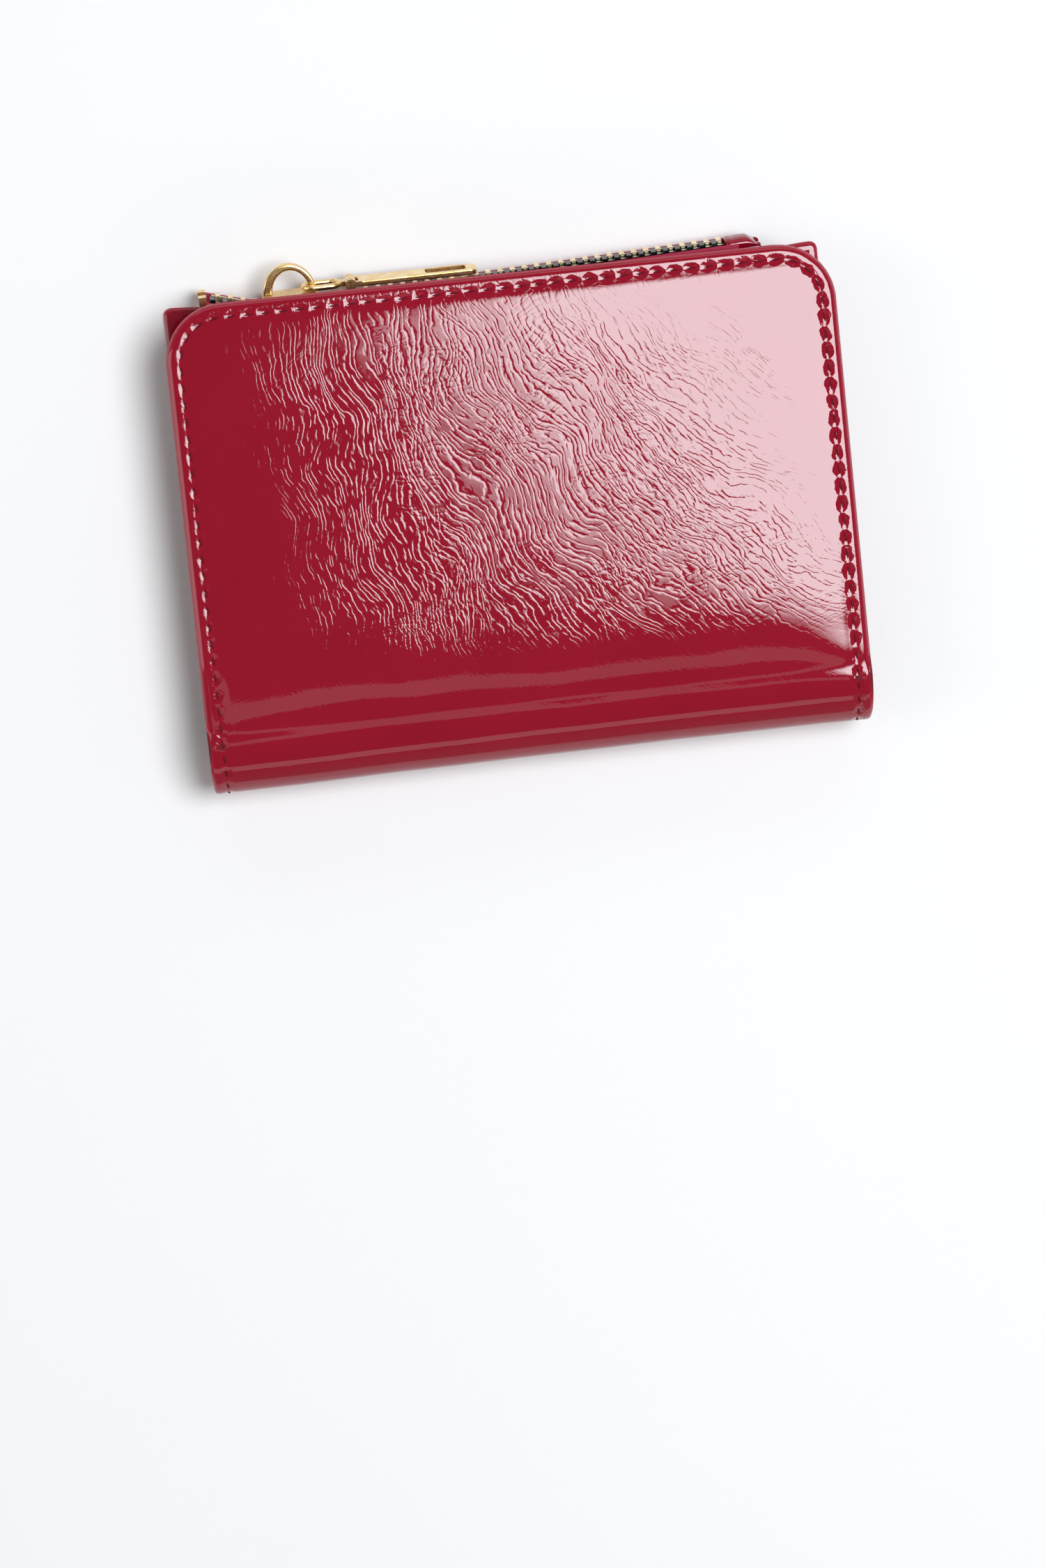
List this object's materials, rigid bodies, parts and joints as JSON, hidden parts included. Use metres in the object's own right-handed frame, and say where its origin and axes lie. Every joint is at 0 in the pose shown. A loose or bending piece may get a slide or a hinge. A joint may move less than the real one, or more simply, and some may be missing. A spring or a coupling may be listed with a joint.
{
  "type": "bifold zip wallet",
  "caption": "Compact bifold wallet in glossy crinkled leather, with card slots under a fold-over cover and a zipped coin pocket along the top edge.",
  "frame": {"origin": "middle of the closed wallet's footprint, on the surface that its rear panel lies on", "axes": "+X across the width, from the slider's end of the zip to its tabbed end; +Y from the fold towards the zip; +Z out of the front cover"},
  "size_m": [0.138, 0.1066, 0.02],
  "materials": {
    "patent_leather": "glossy crinkled patent, cherry red",
    "inner_leather": "smooth satin, dark red",
    "lining": "ribbed dark red lining",
    "board": "pressed leather board",
    "foam": "thin white padding",
    "zip_tape": "ribbed crimson tape",
    "gold_metal": "polished pale gold",
    "black_metal": "polished black nickel"
  },
  "bodies": {
    "pocket_body": {"rear_outer_panel": "patent_leather", "rear_board": "board", "pocket_front_board": "board", "pocket_front_wall": "inner_leather", "bill_pocket_panel": "inner_leather", "pocket_lining": "lining", "gusset_left": "inner_leather", "gusset_right": "inner_leather", "spine_leather": "patent_leather", "spine_lining": "inner_leather", "snap_stud": "gold_metal", "zip_tape_front": "zip_tape", "zip_tape_rear": "zip_tape", "zip_teeth_front": "black_metal", "zip_teeth_rear": "gold_metal", "zip_top_stop_front": "gold_metal", "zip_top_stop_rear": "gold_metal", "zip_bottom_stop": "gold_metal", "zip_end_tab": "patent_leather"},
    "front_cover": {"front_outer_panel": "patent_leather", "cover_padding": "foam", "cover_board": "board", "cover_lining": "inner_leather", "card_slot_back": "inner_leather", "card_slot_middle": "inner_leather", "card_slot_front": "inner_leather", "snap_socket": "gold_metal"},
    "zip_slider": {"slider_body": "gold_metal", "slider_bridge": "gold_metal"},
    "link": {"pull_link": "gold_metal"},
    "bar": {"pull_bar": "gold_metal", "pull_pin": "gold_metal"}
  },
  "joints": [
    {"name": "cover_hinge", "type": "hinge", "parent": "pocket_body", "child": "front_cover", "pos_m": [0, -0.04526, 0.01], "axis": [1, 0, 0], "range_deg": [0, 176], "deforming": ["spine_leather", "spine_lining"]},
    {"name": "zip_slide", "type": "slide", "parent": "pocket_body", "child": "zip_slider", "axis": [0.9994, 0.0349, 0], "range_m": [0, 0.083], "deforming": ["zip_teeth_front", "zip_teeth_rear", "zip_tape_front", "zip_tape_rear"]},
    {"name": "link_swing", "type": "hinge", "parent": "zip_slider", "child": "link", "pos_m": [-0.03919, 0.04798, 0.00699], "axis": [0.0079, -0.2248, 0.9744], "range_deg": [0, 120]},
    {"name": "bar_swing", "type": "hinge", "parent": "link", "child": "bar", "pos_m": [-0.02949, 0.04801, 0.00692], "axis": [0.0079, -0.2248, 0.9744], "range_deg": [0, 55]}
  ]
}
